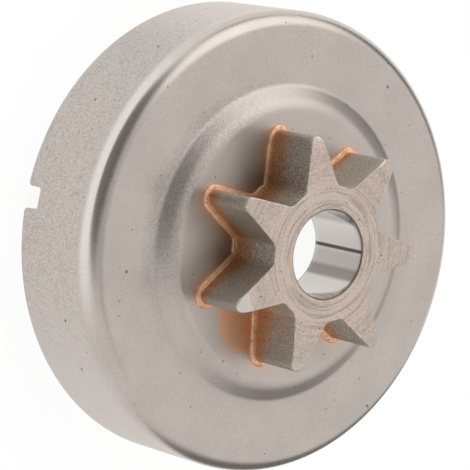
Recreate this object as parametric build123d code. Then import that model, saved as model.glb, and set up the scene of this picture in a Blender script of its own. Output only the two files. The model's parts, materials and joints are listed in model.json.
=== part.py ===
"""Clutch drum with a spur sprocket, for a chain saw.

A cup pressed from sheet steel carries a seven-tooth sprocket on the raised boss in the middle of its face.
The sprocket's spigot fills the hole in the boss, and a copper braze seam runs round the foot of the teeth.

Frame: +Z is the axis of rotation, with the sprocket at the top. The origin is the centre of the open rim,
which lies in z = 0. One tooth points along +X. Lengths are in millimetres and angles in degrees.
"""

import os
from math import acos, atan2, cos, degrees, pi, sin

from build123d import *

# Pressed drum
DRUM_DIAMETER = 74.0
DRUM_DEPTH = 18.6  # open rim to the flat of the face
SHEET = 2.0
BEND_INSIDE_RADIUS = 0.6
RIM_CHAMFER = 0.35

# Raised boss in the drum's face
BOSS_RISE = 1.9
BOSS_LEDGE = 1.65  # flat of the boss left outside the braze seam at the tooth tips
STEP_WIDTH = 4.5  # radial width of the sloping step up to the boss, with its two bends
STEP_FOOT_RADIUS = 1.5  # outside of the bend at the foot of the step
STEP_TOP_INSIDE_RADIUS = 1.0

# Notch in the rim that turns the oil pump
NOTCH_WIDTH = 3.5
NOTCH_DEPTH = 3.3
NOTCH_CORNER_RADIUS = 0.7
NOTCH_ANGLE = -85.2

# Spur sprocket, for 3/8 inch chain
TEETH = 7
TIP_DIAMETER = 37.7
ROOT_DIAMETER = 21.6
TIP_ROUND = 1.3
ROOT_FILLET = 1.6
ROOT_LAND = 1.45  # length of root circle left between two fillets
SPROCKET_HEIGHT = 9.7  # boss to the sprocket's front face
TIP_SLOPE_WIDTH = 2.0  # the front of each tooth falls away over this much of its tip
TIP_SLOPE_DROP = 0.35

# Bearing bore and spigot
BORE_DIAMETER = 14.0
BORE_FRONT_CHAMFER = 0.2
BORE_BACK_CHAMFER = 0.4
SPIGOT_WALL = 2.5
SPIGOT_CLEARANCE = 0.03  # radial, as a brazed joint has

# Copper braze seam round the foot of the teeth
BRAZE_WIDTH = 0.8
BRAZE_HEIGHT = 0.5
BRAZE_ROUND = 0.4
BRAZE_EDGE = 0.05  # least height left under the rounded edge

# Worked out from the sizes above
drum_radius = DRUM_DIAMETER / 2
inside_radius = drum_radius - SHEET
bend_outside_radius = BEND_INSIDE_RADIUS + SHEET
tip_radius = TIP_DIAMETER / 2
root_radius = ROOT_DIAMETER / 2
boss_top_radius = tip_radius + BRAZE_WIDTH + BOSS_LEDGE
boss_foot_radius = boss_top_radius + STEP_WIDTH
step_top_radius = STEP_TOP_INSIDE_RADIUS + SHEET
boss_z = DRUM_DEPTH + BOSS_RISE
boss_underside_z = boss_z - SHEET
sprocket_top_z = boss_z + SPROCKET_HEIGHT
bore_radius = BORE_DIAMETER / 2
spigot_radius = bore_radius + SPIGOT_WALL
hole_radius = spigot_radius + SPIGOT_CLEARANCE


def polar(radius, angle):
    """The point at this radius and angle, in radians, as plain coordinates."""
    return radius * cos(angle), radius * sin(angle)


def arc_about(centre, radius, start, end):
    """The arc about centre from one angle to another, in radians; it runs clockwise where end is less."""
    return CenterArc(centre, radius, degrees(start), degrees(end - start))


def skin_profile(depth):
    """One side of the sheet, rim to hole, as edges in (r, z); depth 0 is outside, SHEET is inside."""
    wall = drum_radius - depth
    face = DRUM_DEPTH - depth
    boss = boss_z - depth
    bend_centre = (drum_radius - bend_outside_radius, DRUM_DEPTH - bend_outside_radius)

    # The step's straight slope touches the bend at its foot from below and the bend at its top from above
    foot_centre = Vector(boss_foot_radius, DRUM_DEPTH + STEP_FOOT_RADIUS)
    top_centre = Vector(boss_top_radius, boss_z - step_top_radius)
    across = foot_centre - top_centre
    lean = atan2(across.Y, across.X) + acos((STEP_FOOT_RADIUS + step_top_radius) / across.length)

    bend = arc_about(bend_centre, bend_outside_radius - depth, 0, pi / 2)
    step_foot = arc_about(foot_centre, STEP_FOOT_RADIUS + depth, -pi / 2, lean - pi)
    step_top = arc_about(top_centre, step_top_radius - depth, lean, pi / 2)
    return [
        Line((wall, RIM_CHAMFER), bend @ 0),
        bend,
        Line((bend_centre[0], face), (boss_foot_radius, face)),
        step_foot,
        Line(step_foot @ 1, step_top @ 0),
        step_top,
        Line((boss_top_radius, boss), (hole_radius, boss)),
    ]


def make_clutch_drum():
    """The pressed cup: the sheet's profile turned about the axis, less the notch in its rim."""
    outside = skin_profile(0)
    inside = skin_profile(SHEET)
    rim = Polyline(
        outside[0] @ 0,
        (drum_radius - RIM_CHAMFER, 0),
        (inside_radius + RIM_CHAMFER, 0),
        inside[0] @ 0,
    )
    hole = Line((hole_radius, boss_z), (hole_radius, boss_underside_z))
    section = make_face([*outside, hole, *inside, rim])
    cup = revolve(Plane.XZ * section, Axis.Z)

    # The notch's outline is twice its depth, so that half of it lies below the rim
    outline = RectangleRounded(NOTCH_WIDTH, 2 * NOTCH_DEPTH, NOTCH_CORNER_RADIUS)
    reach = 2 * SHEET
    cutter = extrude(Plane.YZ.offset(inside_radius - reach / 2) * outline, SHEET + reach)
    return cup - Rot(0, 0, NOTCH_ANGLE) * cutter


def tooth_face(grow=0.0):
    """The sprocket's outline as a face, moved outwards by grow.

    Each half tooth is a tip arc, a straight flank, a root fillet and half of the land on the root circle.
    The flank is the line that touches the tip circle on its near side and the fillet circle on its far side.
    """
    half_pitch = pi / TEETH
    fillet_angle = half_pitch - ROOT_LAND / 2 / root_radius
    tip_centre = Vector(tip_radius - TIP_ROUND, 0)
    fillet_centre = Vector(*polar(root_radius + ROOT_FILLET, fillet_angle))
    across = fillet_centre - tip_centre
    lean = atan2(across.Y, across.X) - acos((TIP_ROUND + ROOT_FILLET) / across.length)

    tip_round = TIP_ROUND + grow
    root_fillet = ROOT_FILLET - grow
    normal = Vector(*polar(1, lean))
    flank = Line(tip_centre + normal * tip_round, fillet_centre - normal * root_fillet)
    half_tooth = [
        flank,
        arc_about(fillet_centre, root_fillet, lean - pi, fillet_angle - pi),
    ]
    tooth = [arc_about(tip_centre, tip_round, -lean, lean)]
    tooth += half_tooth
    tooth += [mirror(edge, Plane.XZ) for edge in half_tooth]
    tooth += [arc_about((0, 0), root_radius + grow, fillet_angle, 2 * half_pitch - fillet_angle)]
    pitch = 360 / TEETH
    edges = [Rot(0, 0, pitch * number) * edge for number in range(TEETH) for edge in tooth]
    return make_face(edges)


def turned_ring(*corners):
    """The solid that a closed outline in (r, z) sweeps about the axis."""
    return revolve(Plane.XZ * make_face(Polyline(*corners, close=True)), Axis.Z)


def make_spur_sprocket():
    """The toothed block and its spigot, with the bearing bore right through."""
    block = extrude(Pos(0, 0, boss_z) * tooth_face(), SPROCKET_HEIGHT)
    spigot = extrude(Pos(0, 0, boss_underside_z) * Circle(spigot_radius), SHEET)
    bore = extrude(Pos(0, 0, boss_underside_z) * Circle(bore_radius), SHEET + SPROCKET_HEIGHT)

    # Cuts that break the two ends of the bore and slope the fronts of the tooth tips
    front, back = BORE_FRONT_CHAMFER, BORE_BACK_CHAMFER
    front_break = turned_ring(
        (0, sprocket_top_z - front - bore_radius),
        (bore_radius + front, sprocket_top_z),
        (0, sprocket_top_z),
    )
    back_break = turned_ring(
        (0, boss_underside_z + back + bore_radius),
        (bore_radius + back, boss_underside_z),
        (0, boss_underside_z),
    )
    slope_end = 2 * TIP_SLOPE_WIDTH
    tip_slope = turned_ring(
        (tip_radius - TIP_SLOPE_WIDTH, sprocket_top_z),
        (tip_radius - TIP_SLOPE_WIDTH + slope_end, sprocket_top_z),
        (tip_radius - TIP_SLOPE_WIDTH + slope_end, sprocket_top_z - 2 * TIP_SLOPE_DROP),
    )
    return block + spigot - bore - front_break - back_break - tip_slope


def make_braze_seam():
    """The copper bead: a rounded band that follows the teeth where they stand on the boss."""
    band = extrude(Pos(0, 0, boss_z) * tooth_face(BRAZE_WIDTH), BRAZE_HEIGHT)
    edge_round = min(BRAZE_ROUND, BRAZE_HEIGHT - BRAZE_EDGE)
    bead = fillet(band.edges().group_by(Axis.Z)[-1], edge_round)
    return bead - extrude(Pos(0, 0, boss_z) * tooth_face(), BRAZE_HEIGHT)


def main():
    os.makedirs("parts", exist_ok=True)
    export_step(make_clutch_drum(), "parts/clutch_drum.step")
    export_step(make_spur_sprocket(), "parts/spur_sprocket.step")
    export_step(make_braze_seam(), "parts/braze_seam.step")


main()
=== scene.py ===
import json
from math import acos, cos, pi, radians, sin

import bpy
import numpy as np
from mathutils import Matrix, Vector


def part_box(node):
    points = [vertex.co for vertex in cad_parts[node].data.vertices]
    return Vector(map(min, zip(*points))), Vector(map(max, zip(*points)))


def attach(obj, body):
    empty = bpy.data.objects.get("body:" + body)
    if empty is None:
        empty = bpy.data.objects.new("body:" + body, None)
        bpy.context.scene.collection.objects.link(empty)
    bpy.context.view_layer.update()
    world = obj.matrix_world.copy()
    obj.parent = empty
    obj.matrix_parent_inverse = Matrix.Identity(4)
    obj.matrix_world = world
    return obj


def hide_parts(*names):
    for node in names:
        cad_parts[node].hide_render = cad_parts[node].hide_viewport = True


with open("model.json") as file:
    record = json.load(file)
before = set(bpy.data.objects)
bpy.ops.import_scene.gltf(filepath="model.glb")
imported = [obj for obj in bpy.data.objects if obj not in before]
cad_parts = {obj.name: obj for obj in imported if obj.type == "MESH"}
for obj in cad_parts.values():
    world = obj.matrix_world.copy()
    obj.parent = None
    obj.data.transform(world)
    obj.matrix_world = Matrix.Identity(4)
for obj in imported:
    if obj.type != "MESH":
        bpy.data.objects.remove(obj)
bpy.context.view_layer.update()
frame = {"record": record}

# Sizes that the solids give, in metres
MM = 0.001
_, drum_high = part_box("clutch_drum")
sprocket_low, sprocket_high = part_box("spur_sprocket")
_, seam_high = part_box("braze_seam")
mounts = {mount["name"]: mount for mount in frame["record"]["mounts"]}
DRUM_RADIUS = drum_high[0]
BOSS_Z = drum_high[2]
SPROCKET_TOP = sprocket_high[2]
SPIGOT_END = sprocket_low[2]
TIP_RADIUS = sprocket_high[0]
BORE_RADIUS = mounts["bearing_bore"]["dims"]["r_mm"] * MM
INSIDE_RADIUS = mounts["clutch_bore"]["dims"]["r_mm"] * MM
SEAM_WIDTH = seam_high[0] - TIP_RADIUS
SEAM_HEIGHT = seam_high[2] - BOSS_Z

# Sizes of the pressed drum and of the spigot in its hole, as the solids have them
SHEET = DRUM_RADIUS - INSIDE_RADIUS
BEND_INSIDE_RADIUS = 0.6 * MM
BEND_RADIUS = BEND_INSIDE_RADIUS + SHEET
BOSS_RISE = 1.9 * MM
BOSS_LEDGE = 1.65 * MM
STEP_WIDTH = 4.5 * MM
SPIGOT_WALL = 2.5 * MM
SPIGOT_CLEARANCE = 0.03 * MM
SPIGOT_RADIUS = BORE_RADIUS + SPIGOT_WALL
HOLE_RADIUS = SPIGOT_RADIUS + SPIGOT_CLEARANCE
FACE_Z = BOSS_Z - BOSS_RISE
WALL_TOP = FACE_Z - BEND_RADIUS
BOSS_TOP_RADIUS = TIP_RADIUS + SEAM_WIDTH + BOSS_LEDGE
BOSS_FOOT_RADIUS = BOSS_TOP_RADIUS + STEP_WIDTH

# The two bends of the step, a little softer than in the solids
STEP_FOOT_RADIUS = 1.6 * MM
STEP_TOP_INSIDE_RADIUS = 2.0 * MM
STEP_TOP_RADIUS = STEP_TOP_INSIDE_RADIUS + SHEET

# The notch in the rim, and the rounding of all the rim's edges
NOTCH_ANGLE = radians(-85.2)
NOTCH_WIDTH = 3.5 * MM
NOTCH_DEPTH = 3.3 * MM
NOTCH_CORNER = 0.7 * MM
NOTCH_MOUTH = 0.45 * MM
NOTCH_REACH = 1.3 * MM  # how far from the notch the wall's points move to round its corners
NOTCH_SPACING = 0.1 * MM  # between the wall's points that are next to the notch
RIM_EDGE = 0.2 * MM

# The sprocket's teeth
TEETH = 7
ROOT_RADIUS = 10.8 * MM
TIP_ROUND = 1.3 * MM
ROOT_FILLET = 1.6 * MM
ROOT_LAND = 1.45 * MM
TIP_SLOPE_WIDTH = 2.0 * MM
TIP_SLOPE_DROP = 0.35 * MM
BORE_FRONT_BREAK = 0.2 * MM
BORE_BACK_BREAK = 0.4 * MM

# Rounding of the front's edge: everywhere, added over the length of a tip, and how far wear changes it
FRONT_EDGE = 0.13 * MM
TIP_EDGE = 0.16 * MM
TIP_EDGE_LENGTH = 3.2 * MM
EDGE_WEAR = 0.06 * MM

# Wear of the tips, from the tooth on +X anticlockwise, and the length of a tip that it rubs pale
TIP_WEAR = np.array([0.35, 0.1, 0.3, 0.25, 0.2, 0.15, 1.0])
TIP_WEAR_LENGTH = 1.6 * MM
TIP_WEAR_FADE = 1.3 * MM

# Rows of faces on the spigot with its end, and round the bore's front edge
SPIGOT_ROWS = 4
BREAK_ROWS = 4

# Copper on the boss: the film beside the seam, a pool in one valley, and painted shade at the valleys' roots
# on one side
ON_BOSS = BOSS_Z - 0.5 * MM  # points above this height are on the boss
FILM_LIMIT = TIP_RADIUS + 5 * MM
FILM_SPREAD = 0.9 * MM
FILM_DENSITY = 0.62  # of the film right beside the seam
POOL_CENTRE = complex(12.7, -4.9) * MM
POOL_RADIUS = 5.6 * MM
POOL_SHORE = (-1.3 * MM, 1.5 * MM)  # from its clean side to its full one
VALLEY_SHADE_SIDE = radians(-105)
VALLEY_SHADE_INNER = 11.5 * MM
VALLEY_SHADE_OUTER = 16.5 * MM

# The height that copper was drawn up the flanks at these angles, and the heights at which it sparkles
WASH_ANGLE = np.radians([-180, -143, -128, -103, -90, -77, -64, -51, -14, 0, 26, 42, 51, 103, 160])
WASH_HEIGHT = np.array([1.8, 4.9, 5.1, 2.4, 3.5, 5.2, 3.9, 1.6, 4.3, 2.2, 4.4, 6.0, 3.0, 1.0, 1.5]) * MM
SPARKLE_HEIGHT = (4.1 * MM, 4.9 * MM)

# The copper bead: how far its hidden corner lies inside the boss and inside the flank
BEAD_SUNK = 0.04 * MM
BEAD_IN_FLANK = 0.03 * MM

SHARP_ANGLE = radians(50)  # edges over this angle aren't shaded smooth
rng = np.random.default_rng(seed=7)


# Curves and grids

def arc(centre, radius, start, end, count):
    """Points on a circle: centre + radius (cos a + i sin a), with a evenly spaced from start to end."""
    return centre + radius * np.exp(1j * np.linspace(start, end, count))


def line(start, end, count):
    """Points evenly spaced from start to end, as complex numbers."""
    return np.linspace(complex(*start), complex(*end), count)


def chain(*runs):
    """Runs of points joined end to end; each after the first leaves out its first point, which it shares."""
    return np.concatenate([runs[0]] + [run[1:] for run in runs[1:]])


def growing(start, first, ratio, count):
    """Places after start whose spacing begins at first and grows by ratio each time."""
    return start + np.cumsum(first * ratio ** np.arange(count))


def ring_noise(count, waves, roughness):
    """A smooth closed curve of chance heights about 0, with 1 as the furthest from it.

    It is a sum of sines of rising frequency, each with a chance phase and roughness times the amplitude of
    the one before.
    """
    turn = np.linspace(0, 2 * pi, count, endpoint=False)
    phase = rng.uniform(0, 2 * pi, len(waves))
    size = roughness ** np.arange(len(waves))
    total = (size[:, None] * np.sin(np.array(waves)[:, None] * turn + phase[:, None])).sum(0)
    return total / np.abs(total).max()


def smooth(value, low, high):
    """0 below low, 1 above high, and an S-shaped rise between them."""
    t = np.clip((value - low) / (high - low), 0, 1)
    return t * t * (3 - 2 * t)


def grid_faces(index, close_rows=False):
    """Quads of a grid of vertex numbers whose last column meets its first, and its last row too if asked.

    A quad's corners are a point, the next in its column, that one's neighbour in its row, and its own.
    """
    down = np.roll(index, -1, 0) if close_rows else index[1:]
    here = index if close_rows else index[:-1]
    return np.stack([here, down, np.roll(down, -1, 1), np.roll(here, -1, 1)], -1)


def make_piece(name, vertices, faces, materials, face_material, attributes, node):
    """A mesh object at the origin from vertices and quads, which stands for a node on the root body."""
    mesh = bpy.data.meshes.new(name)
    mesh.from_pydata(vertices, [], faces)
    for material in materials:
        mesh.materials.append(material)
    mesh.polygons.foreach_set("material_index", np.ascontiguousarray(face_material, dtype=np.int32))
    for key, values in attributes.items():
        made = mesh.attributes.new(key, "FLOAT", "POINT")
        made.data.foreach_set("value", np.ascontiguousarray(values, dtype=np.float32))
    mesh.shade_smooth()
    mesh.set_sharp_from_angle(angle=SHARP_ANGLE)
    mesh.update()
    piece = bpy.data.objects.new(name, mesh)
    bpy.context.scene.collection.objects.link(piece)
    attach(piece, "root")
    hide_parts(node)
    return piece


# The drum

def drum_skin(depth, boss_points):
    """One side of the sheet from the top of the wall to the central hole, as complex r + iz.

    It is the bend's arc, the flat of the face, the step up to the boss, and boss_points on the boss's flat.
    The step is an arc at its foot, the straight slope that touches both its arcs, and an arc at its top.
    depth 0 is the outside, and SHEET the inside.
    """
    bend_centre = complex(DRUM_RADIUS - BEND_RADIUS, WALL_TOP)
    foot_centre = complex(BOSS_FOOT_RADIUS, FACE_Z + STEP_FOOT_RADIUS)
    top_centre = complex(BOSS_TOP_RADIUS, BOSS_Z - STEP_TOP_RADIUS)
    across = foot_centre - top_centre
    lean = np.angle(across) + acos((STEP_FOOT_RADIUS + STEP_TOP_RADIUS) / abs(across))
    foot = arc(foot_centre, STEP_FOOT_RADIUS + depth, -pi / 2, lean - pi, 9)
    top = arc(top_centre, STEP_TOP_RADIUS - depth, lean, pi / 2, 11)
    return chain(
        arc(bend_centre, BEND_RADIUS - depth, 0, pi / 2, 22),
        line((bend_centre.real, FACE_Z - depth), (BOSS_FOOT_RADIUS, FACE_Z - depth), 14),
        foot,
        np.linspace(foot[-1], top[0], 9),
        top,
        line((BOSS_TOP_RADIUS, BOSS_Z - depth), (HOLE_RADIUS, BOSS_Z - depth), boss_points),
    )


def drum_columns(half):
    """Places round the rim, as arc lengths from the notch's middle, and the columns at the notch's two sides.

    They are fine across the notch and beside it, and even round the rest.
    """
    inside = np.linspace(-half, half, 25)
    beside = growing(half, NOTCH_SPACING, 1.2, 12)
    around = 2 * pi * DRUM_RADIUS
    rest = np.linspace(beside[-1], around - beside[-1], 322)[1:-1]
    places = np.concatenate([-beside[::-1], inside, beside, rest])
    left = len(beside)
    return places, left, left + len(inside) - 1


def wall_heights(top):
    """Heights of the wall's rows from the rim to the bend, and the number of the row at the notch's roof.

    They are fine where the notch has corners, and grow wider above it.
    """
    mouth = RIM_EDGE + NOTCH_MOUTH
    corner = top - NOTCH_CORNER - RIM_EDGE
    low = chain(np.linspace(RIM_EDGE, mouth, 6), np.linspace(mouth, corner, 8), np.linspace(corner, top, 8))
    high = growing(top, NOTCH_SPACING, 1.25, 9)
    rest = np.linspace(high[-1], WALL_TOP, 9)[1:-1]
    return np.concatenate([low, high, rest]), len(low) - 1


def notch_shift(x, z, half, top):
    """How far each point of the wall moves, in (x, z), to round the notch's corners.

    Along the notch's edge the sharp corner is carried onto an arc, and away from the edge the move fades out.
    At the mouth the moves of the two edges are added, with the corner's own move taken off once.
    """
    side = np.abs(x) - half
    over = z - top
    above_rim = z - RIM_EDGE
    beside = side >= 0
    above = over >= 0

    def fade(distance):
        """1 at the notch's edge, falling to 0 at NOTCH_REACH from it."""
        return np.clip(1 - np.maximum(distance, 0) / NOTCH_REACH, 0, 1) ** 2

    from_side, from_top, from_rim = fade(side), fade(over), fade(above_rim)

    # Corners of the roof
    inner = NOTCH_CORNER + RIM_EDGE
    up_side = np.clip((over + inner) / inner, 0, 1) * pi / 4
    along_top = pi / 2 - np.clip((side + inner) / inner, 0, 1) * pi / 4
    side_x = np.where(up_side > 0, inner * (np.cos(up_side) - 1), 0)
    side_z = np.where(up_side > 0, inner * (np.sin(up_side) - 1) - np.minimum(over, 0), 0)
    top_x = np.where(side > -inner, inner * (np.cos(along_top) - 1) - np.minimum(side, 0), 0)
    top_z = np.where(side > -inner, inner * (np.sin(along_top) - 1), 0)
    corner = inner * (cos(pi / 4) - 1) * from_side * from_top
    dx = np.where(beside & above, corner, np.where(beside, side_x * from_side, top_x * from_top))
    dz = np.where(beside & above, corner, np.where(beside, side_z * from_side, top_z * from_top))

    # Corners of the mouth
    mouth = NOTCH_MOUTH
    up = (1 - np.clip(above_rim / mouth, 0, 1)) * pi / 4
    out = (1 - np.clip(side / mouth, 0, 1)) * pi / 4
    up_x = mouth * (1 - np.cos(up))
    up_z = np.where(up > 0, mouth * (1 - np.sin(up)) - above_rim, 0)
    out_x = np.where(out > 0, mouth * (1 - np.sin(out)) - side, 0)
    out_z = mouth * (1 - np.cos(out))
    shared = mouth * (1 - cos(pi / 4)) * from_side * from_rim
    dx += np.where(beside & ~above, up_x * from_side + out_x * from_rim - shared, 0)
    dz += np.where(beside & ~above, up_z * from_side + out_z * from_rim - shared, 0)
    return dx * np.sign(x), dz


def rim_path(left, right, roof, count):
    """Rows and columns of the wall's points along the edge of the rim, in order.

    They run along the rim, up one side of the notch, across its roof, down the other side and along the rim.
    """
    up, down = np.arange(1, roof + 1), np.arange(roof - 1, -1, -1)
    before, after = np.arange(left + 1), np.arange(right + 1, count)
    across = np.arange(left + 1, right + 1)
    rows = [np.zeros_like(before), up, np.full_like(across, roof), down, np.zeros_like(after)]
    columns = [before, np.full_like(up, left), across, np.full_like(down, right), after]
    return np.concatenate(rows), np.concatenate(columns)


def rim_strip(edge_x, edge_z):
    """Radius, angle and height of a strip along the rim's edge, without the rows it shares with the wall.

    Its section is a quarter circle off the outer wall, a flat across the sheet, and a quarter circle onto the
    inner wall. It stands out from each point of the edge along the edge's normal within the wall.
    """
    around = 2 * pi * DRUM_RADIUS
    run_x = (np.roll(edge_x, -1) - np.roll(edge_x, 1) + around / 2) % around - around / 2
    run_z = np.roll(edge_z, -1) - np.roll(edge_z, 1)
    length = np.hypot(run_x, run_z)
    out_x, out_z = run_z / length, -run_x / length
    outer, inner = DRUM_RADIUS - RIM_EDGE, INSIDE_RADIUS + RIM_EDGE
    section = chain(
        arc(outer, RIM_EDGE, 0, pi / 2, 6),
        line((outer, RIM_EDGE), (inner, RIM_EDGE), 5),
        arc(inner, RIM_EDGE, pi / 2, pi, 6),
    )[1:-1, None]
    radius = np.repeat(section.real, len(edge_x), 1)
    angle = NOTCH_ANGLE + (edge_x + section.imag * out_x) / DRUM_RADIUS
    height = edge_z + section.imag * out_z
    return radius, angle, height


def copper_film(vertices):
    """How much copper has spread over each point of the boss, from 0 to 1.

    It is densest beside the seam and fades outwards, by an amount that changes round the teeth. One valley,
    clockwise of the tooth on +X, is flooded by a pool with a soft, wavy edge.
    """
    ring, _ = tooth_ring()
    film = np.zeros(len(vertices))
    spot = np.hypot(vertices[:, 0], vertices[:, 1])
    near = (spot < FILM_LIMIT) & (vertices[:, 2] > ON_BOSS)
    point = vertices[near, 0] + 1j * vertices[near, 1]
    gap = np.abs(point[:, None] - ring).min(1)
    angle = np.angle(point)
    spread = FILM_SPREAD * (1 + 0.35 * np.sin(3 * angle + 0.6) + 0.25 * np.sin(8 * angle + 2.0))
    halo = FILM_DENSITY * np.exp(-np.maximum(gap - SEAM_WIDTH, 0) / spread)
    from_pool = point - POOL_CENTRE
    turn = np.angle(from_pool)
    shore = POOL_RADIUS + MM * (0.15 * np.sin(4 * turn + 1.0) + 0.15 * np.sin(9 * turn + 2.5))
    flood = smooth(shore - np.abs(from_pool), *POOL_SHORE)
    film[near] = np.maximum(halo, flood)
    return film


def painted_valley_shade(vertices):
    """How much painted shade darkens each point, from 0 to 1: most at the roots of the valleys on the side
    given above.
    """
    point = vertices[:, 0] + 1j * vertices[:, 1]
    rooted = 1 - smooth(np.abs(point), VALLEY_SHADE_INNER, VALLEY_SHADE_OUTER)
    side = smooth(np.cos(np.angle(point) - VALLEY_SHADE_SIDE), 0.2, 0.8)
    return rooted * side * (vertices[:, 2] > ON_BOSS)


def make_drum(materials):
    """The pressed cup: the sheet's section carried round the axis, column by column.

    The wall's lower rows end at the notch, whose corners notch_shift rounds. A strip with rounded edges runs
    along the whole edge of the rim, in and out of the notch, from the outer wall to the inner one.
    """
    half = NOTCH_WIDTH / 2 + RIM_EDGE
    top = NOTCH_DEPTH + RIM_EDGE
    places, left, right = drum_columns(half)
    heights, roof = wall_heights(top)

    # The wall's points, shared by its outer and inner sides
    x, z = np.meshgrid(places, heights)
    dx, dz = notch_shift(x, z, half, top)
    wall_x, wall_z = x + dx, z + dz
    wall_angle = NOTCH_ANGLE + wall_x / DRUM_RADIUS

    # The lathed rows, from the outer wall over the face to the hole, and back under the face to the inner
    # wall; outside, the boss has points enough to carry the copper film
    lathe = np.concatenate([drum_skin(0, boss_points=42), drum_skin(SHEET, boss_points=6)[::-1]])
    lathe = np.repeat(lathe[:, None], len(places), 1)
    lathe_angle = np.broadcast_to(NOTCH_ANGLE + places / DRUM_RADIUS, lathe.shape)
    outer, inner = np.full_like(wall_z, DRUM_RADIUS), np.full_like(wall_z, INSIDE_RADIUS)
    radius = np.concatenate([outer, lathe.real, inner])
    angle = np.concatenate([wall_angle, lathe_angle, wall_angle[::-1]])
    height = np.concatenate([wall_z, lathe.imag, wall_z[::-1]])

    # Quads of the two walls and the lathed rows, less those in the notch; the inner wall's are friction steel
    rows = len(radius)
    index = np.arange(radius.size).reshape(radius.shape)
    quads = grid_faces(index)[..., ::-1]
    friction = np.zeros(quads.shape[:2], dtype=int)
    friction[rows - len(heights):] = 1
    keep = np.ones(quads.shape[:2], dtype=bool)
    keep[:roof, left:right] = False
    keep[rows - 1 - roof:, left:right] = False

    # The strip, between the outer and the inner wall's points along the edge
    edge_row, edge_column = rim_path(left, right, roof, len(places))
    strip = rim_strip(wall_x[edge_row, edge_column], wall_z[edge_row, edge_column])
    strip_index = radius.size + np.arange(strip[0].size).reshape(strip[0].shape)
    outer_edge = index[edge_row, edge_column][None]
    inner_edge = index[rows - 1 - edge_row, edge_column][None]
    strip_quads = grid_faces(np.concatenate([outer_edge, strip_index, inner_edge])).reshape(-1, 4)

    # All of it together, less the points that no face uses
    radius, angle, height = (
        np.concatenate([grid.ravel(), edge.ravel()]) for grid, edge in zip((radius, angle, height), strip)
    )
    vertices = np.stack([radius * np.cos(angle), radius * np.sin(angle), height], 1)
    faces = np.concatenate([quads[keep], strip_quads])
    face_material = np.concatenate([friction[keep], np.zeros(len(strip_quads), int)])
    used, faces = np.unique(faces, return_inverse=True)
    vertices = vertices[used]
    # The second attribute is painted shade at the roots of the valleys
    attributes = {"copper_film": copper_film(vertices), "valley_shade": painted_valley_shade(vertices)}
    return make_piece(
        "drum_shell", vertices, faces.reshape(-1, 4), materials, face_material, attributes,
        "clutch_drum"
    )


# The sprocket and the bead at its foot

def tooth_ring(tip=12, flank=20, fillet=10, land=4):
    """The sprocket's outline as a closed ring of complex points, and its outward normals.

    Half a tooth is a tip arc, the straight flank that touches the tip circle and the root fillet's circle
    from opposite sides, the fillet, and half of the land on the root circle, each with the number of points
    given. It is mirrored, then turned once per tooth.
    """
    half_pitch = pi / TEETH
    fillet_angle = half_pitch - ROOT_LAND / 2 / ROOT_RADIUS
    tip_centre = complex(TIP_RADIUS - TIP_ROUND, 0)
    fillet_centre = (ROOT_RADIUS + ROOT_FILLET) * np.exp(1j * fillet_angle)
    across = fillet_centre - tip_centre
    lean = np.angle(across) - acos((TIP_ROUND + ROOT_FILLET) / abs(across))
    normal = np.exp(1j * lean)
    half = chain(
        arc(tip_centre, TIP_ROUND, 0, lean, tip),
        np.linspace(tip_centre + TIP_ROUND * normal, fillet_centre - ROOT_FILLET * normal, flank),
        arc(fillet_centre, ROOT_FILLET, lean - pi, fillet_angle - pi, fillet),
        arc(0, ROOT_RADIUS, fillet_angle, half_pitch, land),
    )
    tooth = np.concatenate([half[::-1].conj(), half[1:-1]])
    turns = np.exp(2j * pi * np.arange(TEETH) / TEETH)
    ring = (turns[:, None] * tooth).ravel()
    tangent = np.roll(ring, -1) - np.roll(ring, 1)
    return ring, -1j * tangent / np.abs(tangent)


def front_fall(radius):
    """How far the front lies below its top at this radius.

    It is TIP_SLOPE_DROP times the power 1.2 of the share of a tip's slope that is passed there.
    """
    passed = np.maximum(radius - (TIP_RADIUS - TIP_SLOPE_WIDTH), 0) / TIP_SLOPE_WIDTH
    return TIP_SLOPE_DROP * passed**1.2


def back_section():
    """The sprocket's section from the top of the spigot to the bore's front edge, as complex r + iz.

    It is the spigot's side, its flat end, the break at the bore's back, the bore, and a quarter circle round
    the bore's front edge.
    """
    spigot_points = SPIGOT_ROWS // 2 + 1
    end_radius = BORE_RADIUS + BORE_BACK_BREAK
    bore_start = SPIGOT_END + BORE_BACK_BREAK
    bore_end = SPROCKET_TOP - BORE_FRONT_BREAK
    front_break = complex(BORE_RADIUS + BORE_FRONT_BREAK, bore_end)
    return chain(
        line((SPIGOT_RADIUS, BOSS_Z), (SPIGOT_RADIUS, SPIGOT_END), spigot_points),
        line((SPIGOT_RADIUS, SPIGOT_END), (end_radius, SPIGOT_END), spigot_points),
        line((end_radius, SPIGOT_END), (BORE_RADIUS, bore_start), 3),
        line((BORE_RADIUS, bore_start), (BORE_RADIUS, bore_end), 12),
        arc(front_break, BORE_FRONT_BREAK, pi, pi / 2, BREAK_ROWS + 1),
    )


def tip_wear(vertices):
    """How much each point of the front is rubbed pale, from 0 to 1: most at the tips, as TIP_WEAR says."""
    point = vertices[:, 0] + 1j * vertices[:, 1]
    tooth = np.round(np.angle(point) / (2 * pi / TEETH)).astype(int) % TEETH
    amount = TIP_WEAR[tooth]
    start = TIP_RADIUS - TIP_WEAR_LENGTH * (1 + amount)
    return amount * smooth(np.abs(point), start, start + TIP_WEAR_FADE)


def copper_wash(vertices):
    """Copper drawn up the flanks: the attribute wash fades upwards, and sparkle is where it rose most."""
    angle = np.arctan2(vertices[:, 1], vertices[:, 0])
    rise = np.interp(angle, WASH_ANGLE, WASH_HEIGHT, period=2 * pi)
    wash = 1 - smooth(vertices[:, 2] - BOSS_Z, 0.1 * rise, 1.7 * rise)
    return {"wash": wash, "sparkle": smooth(rise, *SPARKLE_HEIGHT)}


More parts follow.
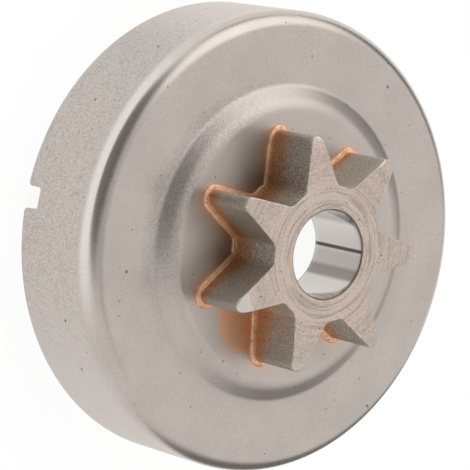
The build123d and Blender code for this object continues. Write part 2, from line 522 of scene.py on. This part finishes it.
def make_sprocket(materials):
    """The toothed block, as closed rings over its section with as many points each as the outline has.

    The rings go from the bore's front edge across the front face to the outline, round the edge, down the
    flanks, under the block to the spigot, down the spigot, across its end, and up the bore to where they
    began. A ring of the front face lies between the bore's circle and the outline, and the face falls away to
    the tooth tips.
    """
    ring, normal = tooth_ring()
    count = len(ring)
    circle = np.exp(1j * (np.linspace(0, 2 * pi, count, endpoint=False) - pi / TEETH))
    at_tip = smooth(np.abs(ring), TIP_RADIUS - TIP_EDGE_LENGTH, TIP_RADIUS)
    wear = ring_noise(count, [9, 16, 29, 47, 71, 103], 0.8)
    edge = FRONT_EDGE + TIP_EDGE * at_tip + EDGE_WEAR * wear

    rim = ring - normal * edge
    share = chain(np.linspace(0, 0.8, 14), np.linspace(0.8, 1, 8))[:, None]
    front = (BORE_RADIUS + BORE_FRONT_BREAK) * circle * (1 - share) + rim * share
    front_z = SPROCKET_TOP - front_fall(np.abs(front))
    sweep = np.linspace(0, pi / 2, 7)[1:, None]
    round_edge = rim + normal * edge * np.sin(sweep)
    round_z = front_z[-1] - edge * (1 - np.cos(sweep))
    drop = np.linspace(0, 1, 16)[1:, None]
    flank = np.broadcast_to(ring, (len(drop), count))
    flank_z = round_z[-1] * (1 - drop) + BOSS_Z * drop
    back = back_section()[:-1, None]
    back_z = np.repeat(back.imag, count, 1)

    plane = np.concatenate([front, round_edge, flank, back.real * circle])
    height = np.concatenate([front_z, round_z, flank_z, back_z])
    index = np.arange(plane.size).reshape(plane.shape)
    quads = grid_faces(index, close_rows=True)
    vertices = np.stack([plane.real.ravel(), plane.imag.ravel(), height.ravel()], 1)

    # The flanks are sintered, the bore is polished, and front, spigot and the bore's front edge are turned
    zone = np.zeros(quads.shape[:2], dtype=int)
    first_flank = len(front) + len(round_edge) - 1
    first_back = len(front) + len(round_edge) + len(flank)
    zone[first_flank:first_back] = 1
    zone[first_back + SPIGOT_ROWS:-BREAK_ROWS] = 2

    # A burr stands here and there along the front's edge, and its light colour is partly a painted edge
    # highlight
    burr_and_highlight = np.zeros(plane.shape)
    rough_edge = ring_noise(count, [7, 18, 37, 59, 88, 131], 0.9)
    burr_and_highlight[len(front) - 1:len(front) + len(round_edge)] = smooth(rough_edge, 0.05, 0.6)
    attributes = {"worn": tip_wear(vertices), "burr_and_highlight": burr_and_highlight.ravel(), **copper_wash(vertices)}
    return make_piece(
        "sprocket_body", vertices, quads.reshape(-1, 4), materials, zone.ravel(), attributes,
        "spur_sprocket"
    )


def make_braze(materials):
    """The copper bead: a flat rounded section carried along the sprocket's outline at its foot.

    With u from 0 at the flank to 1 at the bead's outer edge, its height is
    H sqrt(1 - u^4) (1 - d sin^2(pi u)), so that two low ridges lie beside a trough of depth d. Width, height
    and trough wander a little, as poured metal does. Its hidden corner is just inside the two steel pieces.
    """
    ring, normal = tooth_ring()
    count = len(ring)
    width = SEAM_WIDTH * (1.04 + 0.15 * ring_noise(count, [5, 11, 19, 34, 55], 0.8))
    height = SEAM_HEIGHT * (0.84 + 0.12 * ring_noise(count, [4, 13, 23, 41, 67], 0.8))
    trough = 0.06 + 0.22 * np.maximum(ring_noise(count, [3, 7, 12, 21], 0.8), 0)
    u = (1 - np.linspace(1, 0, 18) ** 1.7)[:, None]
    sunk = np.full((1, count), -BEAD_SUNK)
    outward = np.concatenate([width * u, width[None] * 0.9, sunk])
    outward[0] -= BEAD_IN_FLANK
    upward = np.concatenate([height * np.sqrt(1 - u**4) * (1 - trough * np.sin(pi * u) ** 2), sunk, sunk])
    plane = ring + normal * outward
    index = np.arange(plane.size).reshape(plane.shape)
    quads = grid_faces(index, close_rows=True).reshape(-1, 4)
    vertices = np.stack([plane.real.ravel(), plane.imag.ravel(), (BOSS_Z + upward).ravel()], 1)
    # Painted shade at the roots of the valleys, as on the boss
    attributes = {"valley_shade": painted_valley_shade(vertices)}
    return make_piece(
        "braze_bead", vertices, quads, materials, np.zeros(len(quads), int), attributes,
        "braze_seam"
    )


# Materials

class Finish:
    """A material under construction: its node tree, its Principled shader and short ways to add nodes."""

    def __init__(self, name):
        self.material = bpy.data.materials.new(name)
        self.material.use_nodes = True
        self.tree = self.material.node_tree
        self.shader = self.tree.nodes["Principled BSDF"]
        self.place = self.add("TexCoord").outputs["Object"]

    def add(self, kind, inputs=None, **settings):
        """A node of this kind with its settings made and its inputs filled or linked."""
        node = self.tree.nodes.new("ShaderNode" + kind)
        for key, value in settings.items():
            setattr(node, key, value)
        for key, value in (inputs or {}).items():
            self.put(node, key, value)
        return node

    def put(self, node, key, value):
        """Links a socket to this input, or sets its value."""
        if isinstance(value, bpy.types.NodeSocket):
            self.tree.links.new(value, node.inputs[key])
        else:
            node.inputs[key].default_value = value

    def set(self, **inputs):
        """Fills the shader's inputs, named with spaces as underscores."""
        for key, value in inputs.items():
            self.put(self.shader, key.replace("_", " "), value)

    def noise(self, size, detail=3.0, place=None, roughness=0.5):
        """Cloudy chance values from 0 to 1, whose features are about size across."""
        node = self.add("TexNoise", {"Scale": 1 / size, "Detail": detail, "Roughness": roughness})
        self.put(node, "Vector", place or self.place)
        return node.outputs["Fac"]

    def stretched(self, scale):
        """Object coordinates with each axis scaled."""
        return self.add("Mapping", {"Vector": self.place, "Scale": scale}).outputs["Vector"]

    def math(self, operation, first, second=0.0, third=0.0):
        """The result of a sum or another operation on up to three values."""
        return self.add("Math", {0: first, 1: second, 2: third}, operation=operation).outputs[0]

    def vector(self, operation, first, second=(0.0, 0.0, 0.0)):
        """The node of an operation on one or two vectors."""
        return self.add("VectorMath", {0: first, 1: second}, operation=operation)

    def ramp(self, value, low, high, to_low=0.0, to_high=1.0):
        """Value carried from the range low to high onto another range, with an S-shaped rise."""
        inputs = {0: value, 1: low, 2: high, 3: to_low, 4: to_high}
        return self.add("MapRange", inputs, interpolation_type="SMOOTHSTEP").outputs[0]

    def scale(self, value, low, high):
        """Value from 0 to 1 carried straight onto low to high."""
        return self.add("MapRange", {0: value, 1: 0.0, 2: 1.0, 3: low, 4: high}).outputs[0]

    def mix(self, factor, first, second):
        """Two colours mixed by factor."""
        return self.add("Mix", {0: factor, 6: first, 7: second}, data_type="RGBA").outputs[2]

    def attribute(self, name):
        """The mesh's own value at each point, by its name."""
        return self.add("Attribute", attribute_name=name).outputs["Fac"]

    def bump(self, height, depth, strength=1.0, under=None):
        """A normal from a height map from 0 to 1 that stands for depth in metres."""
        node = self.add("Bump", {"Height": height, "Distance": depth, "Strength": strength})
        if under is not None:
            self.put(node, "Normal", under)
        return node.outputs["Normal"]

    def spots(self, spacing, radius, share, seed):
        """Small round spots about spacing apart, of which a share shows: 1 inside one and 0 outside."""
        moved = self.add("Mapping", {"Vector": self.place, "Location": (seed, 2 * seed, 3 * seed)})
        cells = self.add("TexVoronoi", {"Vector": moved.outputs["Vector"], "Scale": 1 / spacing})
        inside = self.ramp(cells.outputs["Distance"], radius / spacing, 0.4 * radius / spacing)
        red = self.add("SeparateColor", {0: cells.outputs["Color"]}).outputs[0]
        return self.math("MULTIPLY", inside, self.math("LESS_THAN", red, share))

    def radius(self):
        """Distance from the axis, in metres."""
        return self.vector("LENGTH", self.stretched((1.0, 1.0, 0.0))).outputs["Value"]

    def height(self):
        """Height above the rim, in metres."""
        return self.add("SeparateXYZ", {0: self.place}).outputs["Z"]

    def angle(self):
        """Angle round the axis from +X, in radians from -pi to pi."""
        axes = self.add("SeparateXYZ", {0: self.place})
        return self.math("ARCTAN2", axes.outputs["Y"], axes.outputs["X"])

    def outward(self):
        """Unit vector away from the axis."""
        return self.vector("NORMALIZE", self.stretched((1.0, 1.0, 0.0))).outputs["Vector"]

    def towards(self, side):
        """Cosine of the angle round the axis from a direction: 1 on that side and -1 on the other."""
        return self.vector("DOT_PRODUCT", self.outward(), side).outputs["Value"]

    def rings(self, width, length):
        """Chance lines from 0 to 1 that run round the axis, about width apart and length long, in radians.

        They are noise at the point (cos a / length, sin a / length, r / width), which has no seam.
        """
        slow = self.add("VectorMath", {0: self.outward(), "Scale": 1 / length}, operation="SCALE")
        across = self.add("CombineXYZ", {"Z": self.math("DIVIDE", self.radius(), width)})
        place = self.vector("ADD", slow.outputs["Vector"], across.outputs["Vector"])
        return self.noise(1.0, 2.0, place.outputs["Vector"])


def direction(azimuth, elevation=0):
    """Unit vector towards an azimuth from +X and an elevation above the floor, in degrees."""
    around, up = radians(azimuth), radians(elevation)
    return (cos(around) * cos(up), sin(around) * cos(up), sin(up))


# Colours of the finishes
STEEL = (0.625, 0.56, 0.517, 1.0)
STEEL_SHADE = (0.572, 0.509, 0.465, 1.0)
STEEL_WALL = (0.70, 0.636, 0.588, 1.0)
# Burnished steel, lightened further as a painted highlight
STEEL_BURNISH_AND_HIGHLIGHT = (0.85, 0.80, 0.75, 1.0)
# Pits and dark grain, and also the painted dark reflection at the bore's edge
STEEL_PIT_AND_DARK_REFLECTION = (0.14, 0.115, 0.095, 1.0)
# Light specks, and the painted highlight along the front's edge
STEEL_SPECK_AND_HIGHLIGHT = (0.90, 0.87, 0.84, 1.0)
WORN_TIP = (0.78, 0.71, 0.65, 1.0)
COPPER = (0.98, 0.635, 0.425, 1.0)
COPPER_SHADE = (0.62, 0.355, 0.225, 1.0)
COPPER_STAIN = (0.82, 0.46, 0.30, 1.0)
FRONT = (0.71, 0.59, 0.515, 1.0)
FRONT_SHADE = (0.50, 0.41, 0.35, 1.0)
GRAIN = (0.56, 0.51, 0.445, 1.0)
# Painted glints on the sintered grain
PAINTED_GLINT = (0.98, 0.95, 0.88, 1.0)
GRAIN_SHADE = (0.20, 0.185, 0.16, 1.0)
WASH = (0.62, 0.335, 0.165, 1.0)
# Painted shade for the roots of the valleys
VALLEY_SHADE_COLOUR = (0.13, 0.085, 0.055, 1.0)
BORE = (0.61, 0.575, 0.54, 1.0)
# Dark of the painted reflections along the bore
BORE_PAINTED_REFLECTION_DARK = (0.06, 0.052, 0.045, 1.0)

# Sides of the drum: where the bend is burnished and lightened by a painted highlight, and where the wall is
# grainy and the step speckled
BURNISH_AND_HIGHLIGHT_SIDE = direction(-98)
SPECKLED_SIDE = direction(-105)

# Radii on the sprocket's front at which the turned rings are clear, and at which they have faded
RINGS_CLEAR = 9.0 * MM
RINGS_FADED = 13.5 * MM

# Scales of noise that is drawn out round the axis and fine along it
INNER_WALL_LINES = (60.0, 60.0, 4200.0)
BORE_LINES = (50.0, 50.0, 5000.0)

# Painted reflections: soft dark bands along the bore as (angle, half width, depth of tone), with the angles
# in degrees
BORE_PAINTED_REFLECTIONS = [(105, 3.4, 0.93), (72, 12, 0.6), (90, 15, 0.22), (156, 18, 0.4)]


def pressed_steel():
    """Satin sheet steel: cloudy tone, fine grain, pits and specks, copper that has spread from the seam, and
    painted shade at the roots of the valleys on one side.

    Wall, boss and step are duller than the face. On one side the wall is scuffed and grainy, and the step is
    speckled. The die has burnished the edge where the wall turns into the bend, on the side of the notch, and
    there the bend's lighter colour is partly a painted highlight.
    """
    look = Finish("pressed_steel")
    radius, height = look.radius(), look.height()
    wall = look.ramp(height, WALL_TOP + 0.2 * MM, WALL_TOP - 2.2 * MM)
    bend = look.math(
        "MULTIPLY",
        look.ramp(radius, DRUM_RADIUS - 1.1 * MM, DRUM_RADIUS - 0.3 * MM),
        look.ramp(height, WALL_TOP - 1.3 * MM, WALL_TOP + 0.3 * MM),
    )
    # Burnished on one side, where the bend's lighter colour is also a painted highlight
    burnish_and_highlight = look.math("MULTIPLY", bend, look.ramp(look.towards(BURNISH_AND_HIGHLIGHT_SIDE), 0.7, 0.98))
    step = look.math(
        "MULTIPLY",
        look.ramp(radius, BOSS_TOP_RADIUS - 0.6 * MM, BOSS_TOP_RADIUS + 1.2 * MM),
        look.ramp(radius, BOSS_FOOT_RADIUS + 2.5 * MM, BOSS_FOOT_RADIUS - 1.0 * MM),
    )
    boss = look.ramp(radius, BOSS_TOP_RADIUS + 0.6 * MM, BOSS_TOP_RADIUS - 0.6 * MM)
    speckled_side = look.towards(SPECKLED_SIDE)
    speckled = look.math("MULTIPLY", step, look.ramp(speckled_side, 0.5, 0.95))
    grainy = look.math("MULTIPLY", wall, look.ramp(speckled_side, 0.3, 0.9))
    coarse = look.math("MAXIMUM", grainy, speckled)

    clouds = look.noise(9 * MM, 4.0)
    grain = look.noise(0.26 * MM, 3.0, roughness=0.7)
    rubbed = look.noise(1.3 * MM, 5.0, roughness=0.7)
    small_pits = look.spots(2.2 * MM, 0.19 * MM, 0.35, 0.3)
    pits = look.math("MAXIMUM", small_pits, look.spots(5 * MM, 0.34 * MM, 0.4, 0.7))
    specks = look.spots(1.7 * MM, 0.13 * MM, 0.25, 1.1)

    colour = look.mix(look.ramp(clouds, 0.3, 0.75), STEEL_SHADE, STEEL)
    colour = look.mix(wall, colour, STEEL_WALL)
    # Lighter bend on one side: burnish and a painted highlight
    colour = look.mix(burnish_and_highlight, colour, STEEL_BURNISH_AND_HIGHLIGHT)
    scuffs = look.math("MULTIPLY", look.ramp(rubbed, 0.5, 0.32), look.scale(grainy, 0.0, 0.16))
    colour = look.mix(scuffs, colour, STEEL_PIT_AND_DARK_REFLECTION)
    dark_grain = look.math("MULTIPLY", look.ramp(grain, 0.58, 0.38), look.scale(coarse, 0.13, 0.38))
    colour = look.mix(dark_grain, colour, STEEL_PIT_AND_DARK_REFLECTION)
    colour = look.mix(look.math("MULTIPLY", specks, look.scale(coarse, 0.3, 0.7)), colour, STEEL_SPECK_AND_HIGHLIGHT)
    colour = look.mix(look.math("MULTIPLY", pits, 0.9), colour, STEEL_PIT_AND_DARK_REFLECTION)
    torn = look.math("ADD", look.attribute("copper_film"), look.scale(look.noise(0.9 * MM, 3.0), -0.12, 0.12))
    colour = look.mix(look.ramp(torn, 0.08, 0.95), colour, COPPER_STAIN)
    # Painted shade darkens the roots of the valleys on one side
    colour = look.mix(look.math("MULTIPLY", look.attribute("valley_shade"), 0.65), colour, VALLEY_SHADE_COLOUR)

    dull = look.math("MAXIMUM", look.math("MAXIMUM", wall, boss), step)
    rough = look.math("MULTIPLY_ADD", dull, 0.13, look.scale(grain, 0.21, 0.31))
    rough = look.math("MULTIPLY_ADD", burnish_and_highlight, -0.09, rough)
    look.set(Base_Color=colour, Metallic=1.0, Roughness=rough)
    uneven = look.bump(look.noise(3.5 * MM, 2.0), 0.015 * MM, 0.5)
    look.set(Normal=look.bump(look.math("SUBTRACT", grain, pits), 0.012 * MM, 0.8, uneven))
    return look.material


def friction_steel():
    """The drum's inner wall, turned round the axis and polished by the clutch."""
    look = Finish("friction_steel")
    turned = look.noise(1.0, 3.0, look.stretched(INNER_WALL_LINES))
    clouds = look.noise(7 * MM, 3.0)
    colour = look.mix(look.scale(turned, 0.0, 0.5), STEEL, STEEL_SHADE)
    colour = look.mix(look.ramp(clouds, 0.55, 0.8, 0.0, 0.5), colour, STEEL_SHADE)
    look.set(Base_Color=colour, Metallic=1.0, Roughness=look.scale(turned, 0.24, 0.40))
    look.set(Normal=look.bump(turned, 0.015 * MM, 0.8))
    return look.material


def turned_front():
    """The sprocket's front: fine rings about the bore, clearest near it, with pits, grain and pale worn tips.

    The broken edge of the bore is a thin dark line, painted as a dark reflection.
    """
    look = Finish("turned_front")
    radius = look.radius()
    fine = look.rings(0.16 * MM, 0.5)
    broad = look.rings(0.6 * MM, 1.2)
    grain = look.noise(0.24 * MM, 3.0, roughness=0.7)
    mottle = look.noise(0.6 * MM, 4.0, roughness=0.7)
    near_bore = look.ramp(radius, RINGS_FADED, RINGS_CLEAR, 0.15, 0.9)
    small_pits = look.spots(0.9 * MM, 0.15 * MM, 0.32, 0.2)
    pits = look.math("MAXIMUM", small_pits, look.spots(2.2 * MM, 0.24 * MM, 0.5, 0.9))
    specks = look.spots(0.9 * MM, 0.16 * MM, 0.25, 0.5)
    lines = look.math("MULTIPLY_ADD", fine, 0.5, look.math("MULTIPLY", broad, 0.5))
    streaks = look.ramp(lines, 0.36, 0.58)
    apart = look.math("MULTIPLY", look.math("SUBTRACT", streaks, mottle), near_bore)
    tone = look.math("ADD", mottle, apart)

    colour = look.mix(look.ramp(tone, 0.24, 0.72), FRONT_SHADE, FRONT)
    colour = look.mix(look.math("MULTIPLY", specks, 0.4), colour, STEEL_SPECK_AND_HIGHLIGHT)
    colour = look.mix(look.math("MULTIPLY", look.ramp(grain, 0.52, 0.34), 0.38), colour, STEEL_PIT_AND_DARK_REFLECTION)
    colour = look.mix(look.math("MULTIPLY", pits, 0.75), colour, STEEL_PIT_AND_DARK_REFLECTION)
    colour = look.mix(look.math("MULTIPLY", look.attribute("worn"), 0.85), colour, WORN_TIP)
    # Light burr along the front's edge, partly a painted highlight
    colour = look.mix(look.math("MULTIPLY", look.attribute("burr_and_highlight"), 0.55), colour, STEEL_SPECK_AND_HIGHLIGHT)
    # A thin dark line painted at the bore's broken edge as a dark reflection
    edge = look.ramp(radius, BORE_RADIUS + 0.26 * MM, BORE_RADIUS + 0.16 * MM, 0.0, 0.8)
    colour = look.mix(edge, colour, STEEL_PIT_AND_DARK_REFLECTION)

    look.set(Base_Color=colour, Metallic=1.0, Roughness=look.scale(grain, 0.34, 0.54))
    shallow = look.bump(grain, 0.02 * MM, 0.8)
    cut = look.math("MULTIPLY", look.math("SUBTRACT", lines, pits), near_bore)
    look.set(Normal=look.bump(cut, 0.025 * MM, 1.0, shallow))
    return look.material


def sintered_flank():
    """The flanks: sintered grain, dark grains and painted bright glints where it sparkles, and copper drawn
    up from the seam.
    """
    look = Finish("sintered_flank")
    grain = look.noise(0.2 * MM, 2.0, roughness=0.7)
    lumps = look.noise(0.5 * MM, 3.0)
    sparkle = look.attribute("sparkle")
    torn = look.math("ADD", look.attribute("wash"), look.scale(look.noise(1.0 * MM, 4.0), -0.3, 0.3))
    wash = look.ramp(torn, 0.1, 0.95)
    dark = look.math("MULTIPLY", look.ramp(grain, 0.5, 0.38), look.scale(sparkle, 0.55, 0.85))
    # Painted glints on the grains where they sparkle
    painted_glints = look.math("MULTIPLY", look.ramp(grain, 0.53, 0.64), look.scale(sparkle, 0.3, 0.9))
    colour = look.mix(wash, GRAIN, WASH)
    colour = look.mix(dark, colour, GRAIN_SHADE)
    colour = look.mix(look.math("MULTIPLY", painted_glints, look.scale(wash, 1.0, 0.35)), colour, PAINTED_GLINT)
    look.set(Base_Color=colour, Metallic=1.0, Roughness=look.scale(grain, 0.62, 0.40))
    uneven = look.bump(lumps, 0.04 * MM, 0.6)
    look.set(Normal=look.bump(grain, 0.07 * MM, 1.0, uneven))
    return look.material


def polished_bore():
    """The bore: a ground and polished race, with faint lines round it and a few dark bands along it that are
    painted reflections.
    """
    look = Finish("polished_bore")
    lines = look.noise(1.0, 3.0, look.stretched(BORE_LINES))
    colour = look.mix(look.scale(lines, 0.0, 0.3), BORE, STEEL_SHADE)
    angle = look.angle()
    # Dark bands painted along the bore as reflections
    for middle, half, depth in BORE_PAINTED_REFLECTIONS:
        aside = look.math("ABSOLUTE", look.math("SUBTRACT", angle, radians(middle)))
        painted_reflection = look.ramp(aside, radians(half), radians(0.4 * half), 0.0, depth)
        colour = look.mix(painted_reflection, colour, BORE_PAINTED_REFLECTION_DARK)
    look.set(Base_Color=colour, Metallic=1.0, Roughness=look.scale(lines, 0.11, 0.17))
    look.set(Normal=look.bump(lines, 0.001 * MM, 0.4))
    return look.material


def copper_braze():
    """The copper bead: satin, mottled and a little oxidised, with ripples where it set, dark specks, and
    painted shade at the roots of the valleys.
    """
    look = Finish("copper_braze")
    clouds = look.noise(1.1 * MM, 5.0, roughness=0.65)
    ripple = look.noise(0.28 * MM, 3.0, roughness=0.6)
    specks = look.spots(1.5 * MM, 0.17 * MM, 0.3, 0.6)
    colour = look.mix(look.ramp(clouds, 0.28, 0.57), COPPER_SHADE, COPPER)
    colour = look.mix(look.math("MULTIPLY", look.ramp(ripple, 0.5, 0.3), 0.5), colour, COPPER_SHADE)
    # Painted shade darkens the bead at the roots of the valleys
    colour = look.mix(look.math("MULTIPLY", look.attribute("valley_shade"), 0.3), colour, VALLEY_SHADE_COLOUR)
    colour = look.mix(look.math("MULTIPLY", specks, 0.85), colour, STEEL_PIT_AND_DARK_REFLECTION)
    look.set(Base_Color=colour, Metallic=1.0, Roughness=look.scale(ripple, 0.40, 0.58))
    look.set(Normal=look.bump(ripple, 0.06 * MM, 0.9))
    return look.material


# Floor, light and camera, with angles in degrees

FLOOR_HALF = 1.6
FLOOR_GAP = 0.05 * MM  # keeps the floor clear of the rim's flat
FLOOR_GLOW = 0.92
FLOOR_PALE = (0.12, 0.12, 0.12, 1.0)

# The floor's brightness in reflections, from the camera's side to the far side, and where it rises
FLOOR_MIRRORED = (0.84, 1.0)
FLOOR_RISE = (-20 * MM, 2 * MM)
FLOOR_FAR_SIDE = 110

# The sector of the floor with a painted shadow of the drum, dim in reflections: its middle, its two half
# angles, and where it starts
FLOOR_SHADOW = 45
FLOOR_SHADOW_INNER = 25
FLOOR_SHADOW_OUTER = 45
FLOOR_SHADOW_START = (48 * MM, 75 * MM)
FLOOR_SHADOW_DIM = 0.15

# Parts of the studio as (name, azimuth, elevation, inner and outer half angle, brightness)
STUDIO_LEVEL = 0.86
STUDIO = [
    ("ceiling", 0, 90, 6, 32, 0.60),
    ("dark room behind the camera", -107, 36, 24, 50, 0.195),
    ("dim corner", 45, -4, 14, 42, 0.2),
    ("second dim corner", 126, 3, 12, 32, 0.12),
    ("gap under the soft box", 172, 4, 5, 18, 0.5),
    ("soft box", 160, 39, 18, 36, 1.6),
]

CAMERA_AIM = Vector((0.0, 3.5 * MM, 2.9 * MM))
CAMERA_AZIMUTH = 2.78
CAMERA_ELEVATION = 50.16
CAMERA_ROLL = 102.6
CAMERA_DISTANCE = 465.2 * MM
CAMERA_NEAR = 10 * MM
CAMERA_LENS = 217.97
SENSOR = 36.0


def pale_floor():
    """A white floor, most of whose brightness shows only to the camera and in reflections.

    The rest of it takes shadows. In reflections it grows brighter towards the far side, and beyond the drum's
    surroundings a painted shadow of the drum dims it in the direction of the studio's dim corner.
    """
    look = Finish("pale_floor")
    path = look.add("LightPath").outputs
    across = look.vector("DOT_PRODUCT", look.place, direction(FLOOR_FAR_SIDE)).outputs["Value"]
    far = look.ramp(across, *FLOOR_RISE, *FLOOR_MIRRORED)
    outer, inner = cos(radians(FLOOR_SHADOW_OUTER)), cos(radians(FLOOR_SHADOW_INNER))
    sector = look.ramp(look.towards(direction(FLOOR_SHADOW)), outer, inner)
    # The drum's painted shadow: a dim sector of the floor in reflections
    corner = look.math("MULTIPLY", sector, look.ramp(look.radius(), *FLOOR_SHADOW_START))
    mirrored = look.math("MULTIPLY", far, look.scale(corner, 1.0, FLOOR_SHADOW_DIM))
    seen = look.math("MAXIMUM", path["Is Camera Ray"], path["Is Transmission Ray"])
    plain = look.math("MULTIPLY", seen, FLOOR_GLOW)
    strength = look.math("MULTIPLY_ADD", path["Is Glossy Ray"], mirrored, plain)
    glow = look.add("Emission", {"Strength": strength}).outputs[0]
    diffuse = look.add("BsdfDiffuse", {"Color": FLOOR_PALE}).outputs[0]
    both = look.add("AddShader", {0: glow, 1: diffuse}).outputs[0]
    look.put(look.tree.nodes["Material Output"], "Surface", both)
    look.tree.nodes.remove(look.shader)

    half = FLOOR_HALF
    corners = [(-half, -half), (half, -half), (half, half), (-half, half)]
    mesh = bpy.data.meshes.new("floor")
    mesh.from_pydata([(x, y, -FLOOR_GAP) for x, y in corners], [], [(0, 1, 2, 3)])
    mesh.materials.append(look.material)
    floor = bpy.data.objects.new("floor", mesh)
    bpy.context.scene.collection.objects.link(floor)


def studio_world():
    """A soft studio: an even level all round, with the parts of STUDIO laid over it as soft patches."""
    world = bpy.data.worlds.new("studio")
    bpy.context.scene.world = world
    world.use_nodes = True
    nodes, links = world.node_tree.nodes, world.node_tree.links
    background = nodes["Background"]
    background.inputs["Color"].default_value = (1, 1, 1, 1)
    place = nodes.new("ShaderNodeTexCoord").outputs["Generated"]
    level = None
    for name, azimuth, elevation, inner, outer, brightness in STUDIO:
        towards = nodes.new("ShaderNodeVectorMath")
        towards.operation = "DOT_PRODUCT"
        towards.inputs[1].default_value = direction(azimuth, elevation)
        links.new(place, towards.inputs[0])
        patch = nodes.new("ShaderNodeMapRange")
        patch.interpolation_type = "SMOOTHSTEP"
        patch.inputs[1].default_value = cos(radians(outer))
        patch.inputs[2].default_value = cos(radians(inner))
        links.new(towards.outputs["Value"], patch.inputs[0])
        mixed = nodes.new("ShaderNodeMix")
        mixed.label = name
        mixed.data_type = "FLOAT"
        links.new(patch.outputs[0], mixed.inputs[0])
        mixed.inputs[2].default_value = STUDIO_LEVEL
        if level is not None:
            links.new(level, mixed.inputs[2])
        mixed.inputs[3].default_value = brightness
        level = mixed.outputs[0]
    links.new(level, background.inputs["Strength"])


def photo_camera():
    """A long lens on the drum from above, rolled on its side as in the photograph."""
    data = bpy.data.cameras.new("camera")
    data.lens = CAMERA_LENS
    data.sensor_width = SENSOR
    data.clip_start = CAMERA_NEAR
    camera = bpy.data.objects.new("camera", data)
    turn = Matrix.Rotation(radians(CAMERA_AZIMUTH), 4, "Z")
    tilt = Matrix.Rotation(radians(90 - CAMERA_ELEVATION), 4, "X")
    roll = Matrix.Rotation(radians(CAMERA_ROLL), 4, "Z")
    pose = turn @ tilt @ roll
    back = pose.to_3x3() @ Vector((0, 0, 1))
    camera.matrix_world = Matrix.Translation(CAMERA_AIM + back * CAMERA_DISTANCE) @ pose
    bpy.context.scene.collection.objects.link(camera)
    bpy.context.scene.camera = camera


make_drum([pressed_steel(), friction_steel()])
make_sprocket([turned_front(), sintered_flank(), polished_bore()])
make_braze([copper_braze()])
pale_floor()
studio_world()
photo_camera()
bpy.context.scene.view_settings.view_transform = "Standard"
